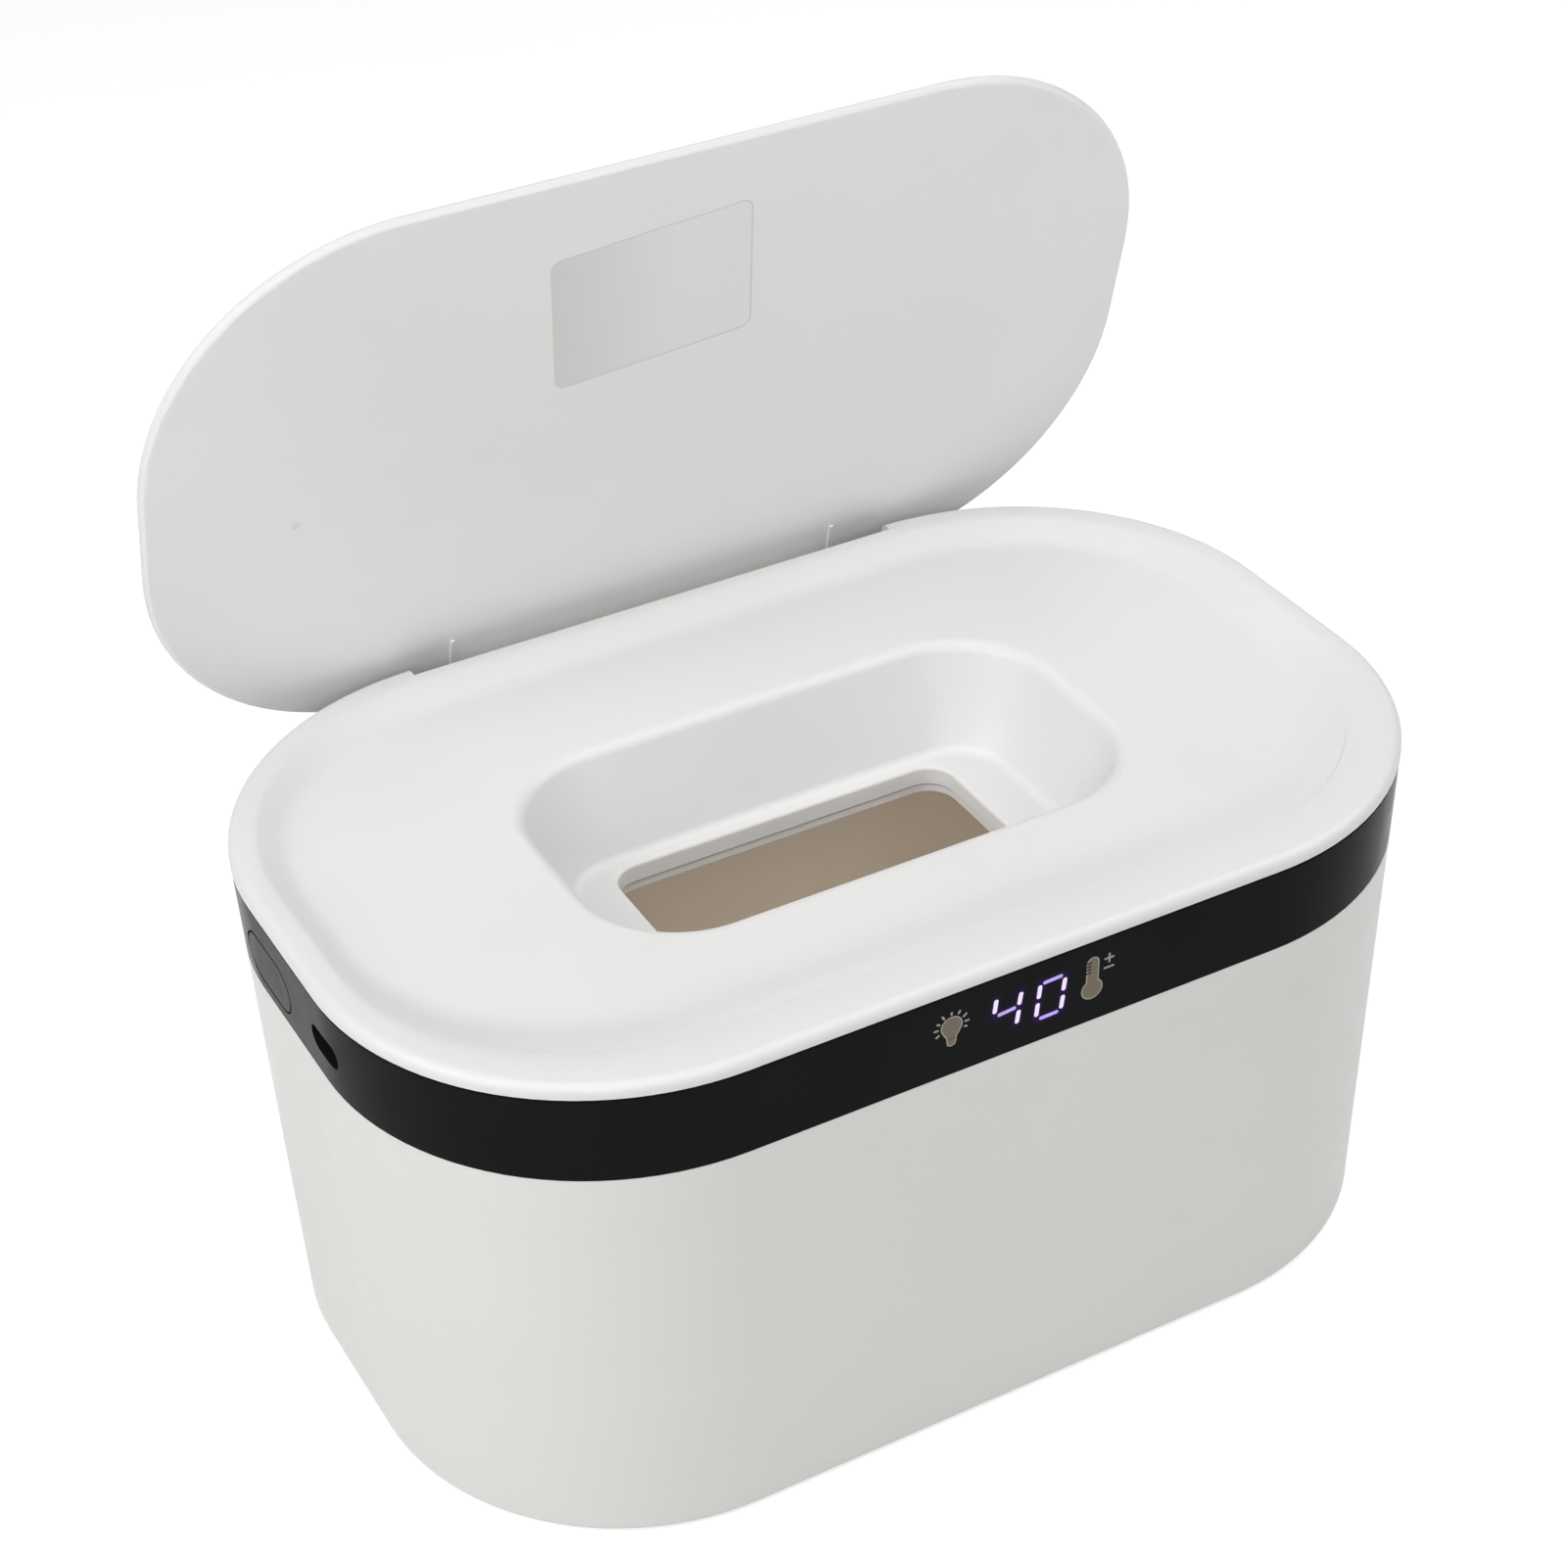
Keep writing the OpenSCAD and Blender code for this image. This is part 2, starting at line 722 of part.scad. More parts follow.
module socket_tongue() {
    color("#202020") translate([power_x - socket_l + lap, inlet_y, inlet_z])
        rotate([90, 0, 90]) translate([-tongue_w / 2, -tongue_t / 2, 0])
            cube([tongue_w, tongue_t, socket_l - lap - socket_floor - tight]);
}

module switch_body() {
    color("#2a2a2a") translate([power_x, button_y, button_z]) facing_left() difference() {
        translate([-switch_w / 2, -switch_w / 2, 0]) cube([switch_w, switch_w, switch_h]);
        translate([0, 0, switch_floor]) cylinder(h = switch_h, r = stem_r + stem_play);
    }
}

// Flat cable from the power board round the front left corner to the display board
module ribbon_cable() {
    color("#c4c7ca") {
        translate([-cx - ribbon_at - ribbon_t / 2, -cy, ribbon_z])
            cube([ribbon_t, plug_w, ribbon_h]);
        translate([-cx, -cy, ribbon_z]) rotate([0, 0, 180]) rotate_extrude(angle = 90)
            translate([ribbon_at - ribbon_t / 2, 0]) square([ribbon_t, ribbon_h]);
        translate([-cx, -cy - ribbon_at - ribbon_t / 2, ribbon_z])
            cube([cx + plug_x + plug_w, ribbon_t, ribbon_h]);
    }
}

// Two insulated leads: down beside the tub, round a bend and under it to the film
module heater_leads() {
    color("#a8322a")
        for (y = lead_ys) translate([lead_x, y, 0]) {
            translate([0, 0, lead_z + lead_bend])
                cylinder(h = board_foot + lead_up - lead_z - lead_bend, r = lead_r);
            translate([lead_bend, 0, lead_z + lead_bend]) rotate([90, 0, 0])
                rotate([0, 0, 180]) rotate_extrude(angle = 90)
                    translate([lead_bend, 0]) circle(lead_r);
            translate([lead_bend, 0, lead_z]) rotate([0, 90, 0])
                cylinder(h = power_back + lead_r - lead_bend - film_r + lead_grip, r = lead_r);
        }
}

// Side button: oval cap flush with the band, and a flange that keeps it behind the band
module side_button() {
    color("#1e1f21") {
        intersection() {
            translate([-body_l / 2 - over, button_y, button_z]) rotate([90, 0, 90])
                stadium(button_l, button_h, button_flange_x + body_l / 2 + 2 * over);
            filled_round(cx, cy, band_z, band_top) polygon([
                [0, band_z], [side_r(band_z), band_z], [side_r(band_top), band_top], [0, band_top]
            ]);
        }
        translate([button_flange_x, button_y, button_z]) rotate([90, 0, 90])
            stadium(button_l + 2 * button_rim, button_h + 2 * button_rim, button_flange_t);
    }
}

// Stem of the switch, between the button's back and the bottom of the switch
module switch_stem() {
    from_x = button_flange_x + button_flange_t;
    to_x = power_x - switch_floor - button_travel - stem_play;
    color("#d9d2c0") translate([from_x, button_y, button_z]) rotate([0, 90, 0])
        cylinder(h = to_x - from_x, r = stem_r);
}

// Rings of the sloped tray, each [share of the way up the slope, height above the floor].
// A ring's corner centres and radii lie between the lid's outline and the rim's.
module tray_rings(rings, out = 0) {
    low_r = lid_r - crease_inset + out;
    top_r = corner_r - lip_w + out;
    back = [[lid_cx, lid_y + lid_cy], [cx, cy]];
    front = [[lid_cx, lid_y - lid_cy], [cx, -cy + lip_front_w - lip_w]];
    hull() for (m = [-1, 1], side = [back, front], ring = rings) {
        at = side[0] + ring[0] * (side[1] - side[0]);
        r = low_r + ring[0] * (top_r - low_r);
        translate([m * at[0], at[1], tray_z + ring[1]])
            cylinder(h = ring_t, r = r, $fn = 64);
    }
}

// Space of the tray: flat floor, soft crease, slope and soft brink
module tray_space() {
    run = body_l / 2 - lip_w - (lid_cx + lid_r - crease_inset);
    c = crease_w / run / 2;
    b = brink_w / run / 2;
    blend = [for (i = [0:5]) let (u = c * (2 * i / 5 - 1)) [u, tray_drop * pow(u + c, 2) / 4 / c]];
    tray_rings(concat(blend, [[tray_past, tray_past * tray_drop]]));
    tray_rings([[1 - b, tray_drop * (1 - b)], [1 + b, tray_drop], [1 + b, tray_drop + over]]);
}

// Body of the tray, one wall below its space
module tray_body() {
    tray_rings([[0, -frame_wall], [tray_past, tray_past * tray_drop - frame_wall]], lap);
}

// Profile of the recess: floor, rounded foot, leaning wall and rounded mouth
function recess_profile() =
    let (turn = 90 - recess_lean,
         foot_in = foot_round * tan(turn / 2),
         mouth_out = mouth_round * tan(turn / 2))
    concat(
        [[0, recess_z]],
        arc([floor_r - foot_in, recess_z + foot_round], foot_round, -90, -recess_lean, 4),
        arc([recess_r + mouth_out, tray_z - mouth_round], mouth_round,
            180 - recess_lean, 90, 5),
        [[recess_r + mouth_out, tray_z + over], [0, tray_z + over]]
    );

// Profile of the slot: rounded upper edge and a straight wall down to the seam
function slot_profile() =
    concat(
        [[0, seam_z - over], [slot_r, seam_z - over]],
        arc([slot_r + slot_round, recess_z - slot_round], slot_round, 180, 90, 4),
        [[slot_r + slot_round, recess_z + over], [0, recess_z + over]]
    );

// Top frame: lip, sloped tray, tapered recess, slot collar, locating rib and hinge ears
module top_frame() {
    wall_out = frame_wall / cos(recess_lean);
    ledge_z = recess_z - frame_wall;
    locator_r = side_r(band_top - locator_drop) - band_wall - loose;
    color("#f4f4f3") difference() {
        union() {
            sweep_round(cx, cy) polygon(concat(
                [[corner_r - 2 * lip_w, frame_z], [corner_r, frame_z]],
                arc([corner_r - rim_round, rim_z - rim_round], rim_round, 0, 90),
                [[corner_r - 2 * lip_w, rim_z]]
            ));
            tray_body();
            sweep_round(cx, cy)
                translate([locator_r - locator_w, band_top - locator_drop])
                    square([locator_w, locator_drop + lap]);
            filled_round(rx, ry, ledge_z, tray_z - over) polygon([
                [0, ledge_z], [floor_r + wall_out - lap, ledge_z],
                [floor_r + wall_out, ledge_z + lap],
                [recess_r + wall_out - recess_taper / recess_h * over, tray_z - over],
                [0, tray_z - over]
            ]);
            plate(sx, sy, slot_r + 2, seam_z, ledge_z - seam_z + over);
            liner_posts() cylinder(h = ledge_z - seam_z + over, r = liner_post_r);
            for (m = [0, 1]) mirror([m, 0, 0])
                translate([arm_w / 2 + side_gap, hinge_y, hinge_z]) rotate([0, 90, 0]) {
                    cylinder(h = ear_t, r = ear_r);
                    translate([-hinge_drop + lap, -ear_r, 0])
                        cube([hinge_drop - lap, 2 * ear_r, ear_t]);
                }
        }
        tray_space();
        filled_round(rx, ry, recess_z, tray_z + over) polygon(recess_profile());
        filled_round(sx, sy, seam_z - over, recess_z + over) polygon(slot_profile());
        liner_posts() translate([0, 0, -over])
            cylinder(h = over + liner_bore, r = small_screw_r + tight);
        translate([-notch_l / 2, body_d / 2 - notch_d, band_top - locator_drop - over])
            cube([notch_l, notch_d + over, rim_z]);
        translate([-arm_w / 2 - side_gap, hinge_y, hinge_z]) rotate([0, 90, 0])
            cylinder(h = arm_w + 2 * side_gap, r = barrel_r + barrel_play);
        for (m = [0, 1]) mirror([m, 0, 0])
            translate([arm_w / 2, hinge_y, hinge_z]) rotate([0, 90, 0])
                cylinder(h = side_gap + ear_t + over, r = pin_r + tight);
    }
}

// Places of the liner's screws, under the wide ends of the ledge
module liner_posts() {
    four_corners() translate([slot_l / 2 + liner_post_out, liner_post_y, seam_z]) children();
}

// Ring that backs the slot from below
module slot_liner() {
    open_r = slot_r + liner_step;
    color("#ecebe9") difference() {
        plate(sx, sy, slot_r + liner_margin, seam_z - liner_t, liner_t);
        translate([0, 0, -over]) plate(sx, sy, open_r, seam_z - liner_t, liner_t + 2 * over);
        liner_posts() translate([0, 0, -liner_t - over])
            cylinder(h = liner_t + 2 * over, r = small_screw_r + snug);
    }
}

module liner_screws() {
    color("#9a9c9e") liner_posts() translate([0, 0, -liner_t])
        screw(small_screw_r, liner_t + liner_bite, small_head_r, small_head_h);
}

module hinge_pins() {
    color("#b9babc") for (m = [0, 1]) mirror([m, 0, 0])
        translate([arm_w / 2 - pin_depth + loose, hinge_y, hinge_z]) rotate([0, 90, 0])
            cylinder(h = pin_depth - loose + side_gap + ear_t, r = pin_r);
}

// Profile of the goose-neck arm in the closed pose: over the rim, down the notch, and
// forward under the notch to the barrel
function arm_profile() =
    let (inner = arm_back - arm_t, top = lid_z + lid_t, big = arm_bend + arm_t)
    concat(
        [[body_d / 2 - lid_back_inset - arm_root, lid_z]],
        arc([inner - arm_bend, lid_z - arm_bend], arm_bend, 90, 0, 4),
        [[inner, hinge_z - barrel_r + web_t], [hinge_y, hinge_z - barrel_r + web_t],
         [hinge_y, hinge_z - barrel_r]],
        arc([arm_back - web_t, hinge_z - barrel_r + web_t], web_t, -90, 0, 4),
        arc([arm_back - big, top - big], big, 0, 90, 5),
        [[body_d / 2 - lid_back_inset - arm_root, top]]
    );

// Lid, drawn closed: thin plate with a round edge, arm, barrel and two gussets
module closed_lid() {
    edge = lid_t / 2;
    difference() {
        union() {
            translate([0, lid_y, 0])
                filled_round(lid_cx, lid_cy, lid_z, lid_z + lid_t) polygon(concat(
                    [[0, lid_z]],
                    arc([lid_r - edge, lid_z + edge], edge, -90, 90, 8),
                    [[0, lid_z + lid_t]]
                ));
            translate([-arm_w / 2, 0, 0]) rotate([90, 0, 90])
                linear_extrude(arm_w) polygon(arm_profile());
            translate([-arm_w / 2, hinge_y, hinge_z]) rotate([0, 90, 0])
                cylinder(h = arm_w, r = barrel_r);
            for (m = [0, 1]) mirror([m, 0, 0])
                translate([arm_w / 2 - gusset_t, 0, 0]) rotate([90, 0, 90])
                    linear_extrude(gusset_t)
                        translate([lid_back - gusset_in - gusset_l, lid_z - gusset_h])
                            square([gusset_l, gusset_h + tight]);
        }
        for (m = [0, 1]) mirror([m, 0, 0])
            translate([arm_w / 2 - pin_depth, hinge_y, hinge_z]) rotate([0, 90, 0])
                cylinder(h = pin_depth + over, r = pin_r + running);
    }
}

// The lid leans back open, as it stands in use
module lid() {
    color("#f1f0ef")
        translate([0, hinge_y, hinge_z]) rotate([-lid_open, 0, 0])
            translate([0, -hinge_y, -hinge_z]) closed_lid();
}

outer_shell();
base_cover();
rubber_feet();
base_screws();
control_band();
band_screws();
inner_tub();
heat_spreader();
heater_film();
insulation_pad();
insulation_sleeve();
thermistor();
thermal_fuse();
sealing_ring();
display_board();
display_module();
touch_springs();
night_light_leds();
power_board();
power_parts();
board_screws();
power_socket();
socket_tongue();
switch_body();
ribbon_cable();
heater_leads();
side_button();
switch_stem();
top_frame();
slot_liner();
liner_screws();
hinge_pins();
lid();
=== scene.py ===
import math
import bpy
import bmesh
from mathutils import Matrix, Vector


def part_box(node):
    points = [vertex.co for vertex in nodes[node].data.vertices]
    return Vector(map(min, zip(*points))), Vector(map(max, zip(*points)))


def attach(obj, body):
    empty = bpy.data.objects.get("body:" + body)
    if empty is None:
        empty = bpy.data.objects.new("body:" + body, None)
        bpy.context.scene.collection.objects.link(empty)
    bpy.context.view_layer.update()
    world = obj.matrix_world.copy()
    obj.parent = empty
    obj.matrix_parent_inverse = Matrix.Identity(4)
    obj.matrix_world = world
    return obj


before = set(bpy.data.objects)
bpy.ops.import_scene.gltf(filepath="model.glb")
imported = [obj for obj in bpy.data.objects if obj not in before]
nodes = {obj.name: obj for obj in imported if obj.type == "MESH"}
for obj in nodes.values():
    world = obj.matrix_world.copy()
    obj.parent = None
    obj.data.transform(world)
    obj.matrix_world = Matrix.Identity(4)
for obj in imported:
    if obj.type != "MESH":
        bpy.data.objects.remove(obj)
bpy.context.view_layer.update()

# The camera
# A long lens looks down on the front left corner of the warmer, as in a product photograph.
# The view was solved from the rim, the band and the lid.
back_azimuth = math.radians(-27.746)
elevation = math.radians(34.470)
roll = math.radians(-2.055)
distance = 0.60942
focal_mm = 74.39
look_right = -0.007105
look_up = 0.031916
look_height = 0.0606
back = Vector((math.sin(back_azimuth) * math.cos(elevation),
               -math.cos(back_azimuth) * math.cos(elevation), math.sin(elevation)))
level_right = Vector((math.cos(back_azimuth), math.sin(back_azimuth), 0))
level_up = back.cross(level_right)
right = math.cos(roll) * level_right + math.sin(roll) * level_up
up = -math.sin(roll) * level_right + math.cos(roll) * level_up
target = Vector((0, 0, look_height)) + look_right * level_right + look_up * level_up
camera_data = bpy.data.cameras.new("photo_camera")
camera_data.sensor_width = 36
camera_data.lens = focal_mm
camera_data.clip_start = 0.01
camera = bpy.data.objects.new("photo_camera", camera_data)
camera.matrix_world = (Matrix.Translation(target + distance * back)
                       @ Matrix((right, up, back)).transposed().to_4x4())
bpy.context.scene.collection.objects.link(camera)
bpy.context.scene.camera = camera
bpy.context.scene.view_settings.view_transform = "Standard"


# White side wall
# One tapered moulding in satin white plastic, open below, with the band standing on its step.
# Its top edge is rounded and shows as a thin bright line under the band.
def smooth_finish(obj, angle=28):
    """Joins a node's loose triangles for shading and keeps its real edges sharp."""
    obj.data.shade_smooth()
    weld = obj.modifiers.new("join", "WELD")
    weld.merge_threshold = 0.000002
    split = obj.modifiers.new("edges", "EDGE_SPLIT")
    split.split_angle = math.radians(angle)
    split.use_edge_sharp = False
    even = obj.modifiers.new("even_shading", "WEIGHTED_NORMAL")
    even.weight = 50


def tree_and_shader(material):
    return material.node_tree, material.node_tree.nodes["Principled BSDF"]


def new_material(name):
    material = bpy.data.materials.new(name)
    material.use_nodes = True
    return material, *tree_and_shader(material)


def place_on_object(tree):
    """Where a point of the surface lies on the object, in metres."""
    return tree.nodes.new("ShaderNodeTexCoord").outputs["Object"]


def noise(tree, scale, detail=2.0):
    field = tree.nodes.new("ShaderNodeTexNoise")
    field.inputs["Scale"].default_value = scale
    field.inputs["Detail"].default_value = detail
    tree.links.new(place_on_object(tree), field.inputs["Vector"])
    return field.outputs["Fac"]


def spread(tree, value, low, high, start=0.3, end=0.7):
    """Turns a value between start and end into one between low and high."""
    span = tree.nodes.new("ShaderNodeMapRange")
    span.inputs["From Min"].default_value = start
    span.inputs["From Max"].default_value = end
    span.inputs["To Min"].default_value = low
    span.inputs["To Max"].default_value = high
    tree.links.new(value, span.inputs["Value"])
    return span.outputs["Result"]


def two_tone(tree, value, first, second):
    """From the first colour at 0 to the second at 1; either may come from another node."""
    mix = tree.nodes.new("ShaderNodeMix")
    mix.data_type = "RGBA"
    tree.links.new(value, mix.inputs["Factor"])
    for socket, colour in ((mix.inputs[6], first), (mix.inputs[7], second)):
        if isinstance(colour, tuple):
            socket.default_value = (*colour, 1)
        else:
            tree.links.new(colour, socket)
    return mix.outputs[2]


def grain(tree, shader, scale, depth):
    bump = tree.nodes.new("ShaderNodeBump")
    bump.inputs["Strength"].default_value = 0.3
    bump.inputs["Distance"].default_value = depth
    tree.links.new(noise(tree, scale, detail=3), bump.inputs["Height"])
    tree.links.new(bump.outputs["Normal"], shader.inputs["Normal"])


def uneven_gloss(tree, shader, scale, rough, change):
    tree.links.new(spread(tree, noise(tree, scale), rough - change, rough + change),
                   shader.inputs["Roughness"])


def moulded(name, colour, rough, grain_scale=2600, grain_depth=0.00002, change=0.012):
    """Moulded plastic: a hint of cloud in the colour, uneven gloss and a fine grain."""
    material, tree, shader = new_material(name)
    lighter = tuple(min(1, c * (1 + change)) for c in colour)
    darker = tuple(c * (1 - change) for c in colour)
    clouds = spread(tree, noise(tree, scale=22), 0, 1)
    tree.links.new(two_tone(tree, clouds, darker, lighter), shader.inputs["Base Color"])
    uneven_gloss(tree, shader, scale=160, rough=rough, change=0.04)
    grain(tree, shader, grain_scale, grain_depth)
    return material


def paint(material, *names):
    for name in names:
        nodes[name].data.materials.clear()
        nodes[name].data.materials.append(material)


paint(moulded("satin_white_wall", (0.675, 0.662, 0.643), rough=0.42), "outer_shell")
smooth_finish(nodes["outer_shell"])

# Bottom cover and feet
# The moulded cover closes the wall from below, and four soft rubber feet sit in its pockets.
paint(moulded("cover_white", (0.70, 0.69, 0.67), rough=0.55), "base_cover")
paint(moulded("foot_rubber", (0.03, 0.03, 0.031), rough=0.75, grain_scale=1800,
              grain_depth=0.00004, change=0.1), "rubber_feet")


# Screws, hinge pins and the cut-out's case
# Plated steel. The cover's four screws are sunk beside the feet, with a cross slot in each
# head, and the others stay inside.
def plated(name, colour, rough):
    """Plated or rolled metal with faint drawing marks."""
    material, tree, shader = new_material(name)
    shader.inputs["Metallic"].default_value = 1
    marks = spread(tree, noise(tree, scale=900), 0, 1)
    tree.links.new(two_tone(tree, marks, tuple(0.9 * c for c in colour), colour),
                   shader.inputs["Base Color"])
    uneven_gloss(tree, shader, scale=700, rough=rough, change=0.06)
    return material


paint(plated("screw_steel", (0.55, 0.56, 0.57), rough=0.35),
      "base_screws", "band_screws", "board_screws", "liner_screws", "hinge_pins",
      "thermal_fuse")


def rounded_sheet(shape, length, width, corner, segments=4):
    """Adds a flat sheet with rounded corners, in millimetres, and returns its points."""
    old = set(shape.verts)
    bmesh.ops.create_grid(shape, x_segments=1, y_segments=1, size=0.5)
    corners = [v for v in shape.verts if v not in old]
    bmesh.ops.scale(shape, vec=(length, width, 1), verts=corners)
    bmesh.ops.bevel(shape, geom=corners, offset=corner, segments=segments, profile=0.5,
                    affect="VERTICES", material=-1)
    return [v for v in shape.verts if v not in old]


def rounded_bar(shape, start, end, width, ends):
    """Adds a flat bar between two points; ends is its corners' radius in widths."""
    start, end = Vector(start), Vector(end)
    run, middle = end - start, (start + end) / 2
    bar = rounded_sheet(shape, run.length, width, ends * width)
    turn = Matrix.Rotation(math.atan2(run.y, run.x), 4, "Z")
    bmesh.ops.transform(shape, matrix=Matrix.Translation((*middle, 0)) @ turn, verts=bar)


def raise_up(shape, height):
    """Gives flat faces a thickness, upwards."""
    lifted = bmesh.ops.extrude_face_region(shape, geom=shape.faces[:])
    bmesh.ops.translate(shape, vec=(0, 0, height),
                        verts=[g for g in lifted["geom"] if isinstance(g, bmesh.types.BMVert)])
    bmesh.ops.recalc_face_normals(shape, faces=shape.faces[:])


mm = Matrix.Scale(0.001, 4)


def finished(name, shape, place, material, body):
    """Puts a shape drawn in millimetres in its place and makes an object of it."""
    bmesh.ops.transform(shape, matrix=place @ mm, verts=shape.verts[:])
    data = bpy.data.meshes.new(name)
    shape.to_mesh(data)
    shape.free()
    obj = bpy.data.objects.new(name, data)
    bpy.context.scene.collection.objects.link(obj)
    data.materials.append(material)
    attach(obj, body)
    return obj


def shifted(x=0, y=0, z=0):
    """A shift in millimetres."""
    return Matrix.Translation(Vector((x, y, z)) / 1000)


def bars_piece(name, bars, width, ends, thick, place, material):
    """One flat piece of the base from several bars."""
    shape = bmesh.new()
    for start, end in bars:
        rounded_bar(shape, start, end, width, ends)
    raise_up(shape, thick)
    finished(name, shape, place, material, "base")


screws_low, screws_high = (Vector(corner) * 1000 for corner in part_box("base_screws"))
head_radius = 2.75
slot_reach = 1.5
slot_width = 0.6
cross_bars = []
for sign_x in (-1, 1):
    for sign_y in (-1, 1):
        x = sign_x * (screws_high.x - head_radius)
        y = sign_y * (screws_high.y - head_radius)
        cross_bars += [((x - slot_reach, y), (x + slot_reach, y)),
                       ((x, y - slot_reach), (x, y - slot_width / 2)),
                       ((x, y + slot_width / 2), (x, y + slot_reach))]
# Painted shade: the cross slots are thin dark bars on the heads, for the shade in their
# recesses.
bars_piece("cross_slots", cross_bars, width=slot_width, ends=0.2, thick=0.03,
           place=shifted(z=screws_low.z - 0.02),
           material=plated("slot_painted_shade", (0.10, 0.10, 0.11), rough=0.5))

# Black band with the side button
# A glossy black ring; the display and the touch keys shine through its front. Its top edge
# lies in the shade of the frame, and there its gloss is taken away as painted shade.
gloss_index = 1.085
gloss_rough = 0.22


def behind_gloss(name, colour, change):
    """Plastic or print with the soft gloss of the band."""
    material = moulded(name, colour, gloss_rough, grain_scale=1500, grain_depth=0.000004,
                       change=change)
    tree, shader = tree_and_shader(material)
    shader.inputs["IOR"].default_value = gloss_index
    return material


def glossy_black(name, colour=(0.0085, 0.0088, 0.0094)):
    material = behind_gloss(name, colour, change=0.15)
    tree, shader = tree_and_shader(material)
    shader.inputs["Specular Tint"].default_value = (0.9, 0.96, 1.0, 1)
    return material


def object_axis(tree, axis):
    """How far along X, Y or Z a point of the surface lies, in metres."""
    axes = tree.nodes.new("ShaderNodeSeparateXYZ")
    tree.links.new(place_on_object(tree), axes.inputs["Vector"])
    return axes.outputs[axis]


band_black = glossy_black("gloss_black")
tree, shader = tree_and_shader(band_black)
band_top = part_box("control_band")[1][2]
# Painted shade: the gloss fades out near the band's top edge, under the frame.
tree.links.new(spread(tree, object_axis(tree, "Z"), 0.5, 0,
                      start=band_top - 0.0006, end=band_top - 0.0003),
               shader.inputs["Specular IOR Level"])
paint(band_black, "control_band", "side_button")
smooth_finish(nodes["control_band"])
smooth_finish(nodes["side_button"])

# Gap round the button
# The thin joint in which the side button moves, on the flat part of the band's left end.
# Its darkness is painted shade: a near-black sheet without gloss.
rim_height = 104.6
rim_half_length = 105
wall_lean = math.radians(1.8)


def on_band(turn, rim_reach, across, height):
    """From a drawing to its place on a flat side of the band, which leans out upwards."""
    reach = rim_reach - (rim_height - height) * math.tan(wall_lean)
    return (Matrix.Rotation(turn, 4, "Z") @ shifted(across, -reach, height)
            @ Matrix.Rotation(math.pi / 2 + wall_lean, 4, "X"))


def border(sheet, width):
    """Cuts an even border into a flat sheet and returns the face inside it."""
    bmesh.ops.inset_individual(sheet, faces=sheet.faces[:], thickness=width)
    return [face for face in sheet.faces if len(face.verts) > 4]


def rounded_ring(length, width, corner, segments, wall, high):
    """A ring with rounded corners, an even wall and a flat foot."""
    ring = bmesh.new()
    rounded_sheet(ring, length, width, corner, segments)
    bmesh.ops.delete(ring, geom=border(ring, wall), context="FACES")
    raise_up(ring, high)
    return ring


button_low, button_high = (Vector(corner) * 1000 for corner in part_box("side_button"))
button_rim = 0.8
clearance = 0.15
gap_width = 0.34
gap_thick = 0.012
round_end = 0.499  # of the height; a full half would leave double points
gap_grown = clearance + gap_width - 2 * button_rim
gap_long = button_high.y - button_low.y + gap_grown
gap_high = button_high.z - button_low.z + gap_grown
gap = rounded_ring(gap_long, gap_high, round_end * gap_high, segments=10, wall=gap_width,
                   high=gap_thick)
left_plane = on_band(-math.pi / 2, rim_half_length, -(button_low.y + button_high.y) / 2,
                     (button_low.z + button_high.z) / 2)
gap_painted_shade, tree, shader = new_material("gap_painted_shade")
# Painted shade: near-black and without gloss, for the shade inside the joint.
shader.inputs["Specular IOR Level"].default_value = 0
patches = noise(tree, scale=500)
tree.links.new(two_tone(tree, patches, (0.001, 0.001, 0.001), (0.003, 0.003, 0.003)),
               shader.inputs["Base Color"])
finished("button_gap", gap, left_plane @ shifted(z=0.003), gap_painted_shade, "base")

# Display digits
# White-violet light segments behind the band, with a faint violet haze in the black plastic
# around them. The two digits stand on the front plane of the band, slanted a little.
rim_half_depth = 67.85
display_height = 93.2
front_plane = on_band(0, rim_half_depth, 0, display_height)
upright_bars = (
    ((-5.24, 3.96), (-5.60, 1.05)), ((-0.35, 3.63), (-0.75, 1.01)),
    ((-0.74, -0.11), (-1.12, -2.90)), ((8.35, 3.17), (8.02, 0.51)),
    ((8.04, -0.48), (7.71, -3.29)), ((3.40, 3.50), (3.11, 0.69)),
    ((3.03, -0.25), (2.74, -3.08)))
level_bars = (((-4.95, 0.37), (-1.34, 0.70)), ((3.92, 3.71), (7.82, 3.89)),
              ((3.40, -3.78), (7.20, -3.70)))


def lit(name, colour, strength):
    """Light that comes through the glossy plastic."""
    material, tree, shader = new_material(name)
    shader.inputs["Base Color"].default_value = (0.02, 0.02, 0.02, 1)
    shader.inputs["Roughness"].default_value = gloss_rough
    shader.inputs["IOR"].default_value = gloss_index
    shader.inputs["Emission Color"].default_value = (*colour, 1)
    flicker = 0.04 * strength
    tree.links.new(spread(tree, noise(tree, scale=1400), strength - flicker, strength + flicker),
                   shader.inputs["Emission Strength"])
    return material


segment_place = front_plane @ shifted(z=0.02)
bars_piece("upright_segments", upright_bars, width=0.86, ends=0.46, thick=0.02,
           place=segment_place,
           material=lit("upright_segment_light", (0.90, 0.76, 1.0), strength=1.0))
bars_piece("level_segments", level_bars, width=0.74, ends=0.46, thick=0.02,
           place=segment_place,
           material=lit("level_segment_light", (0.55, 0.42, 0.98), strength=0.95))

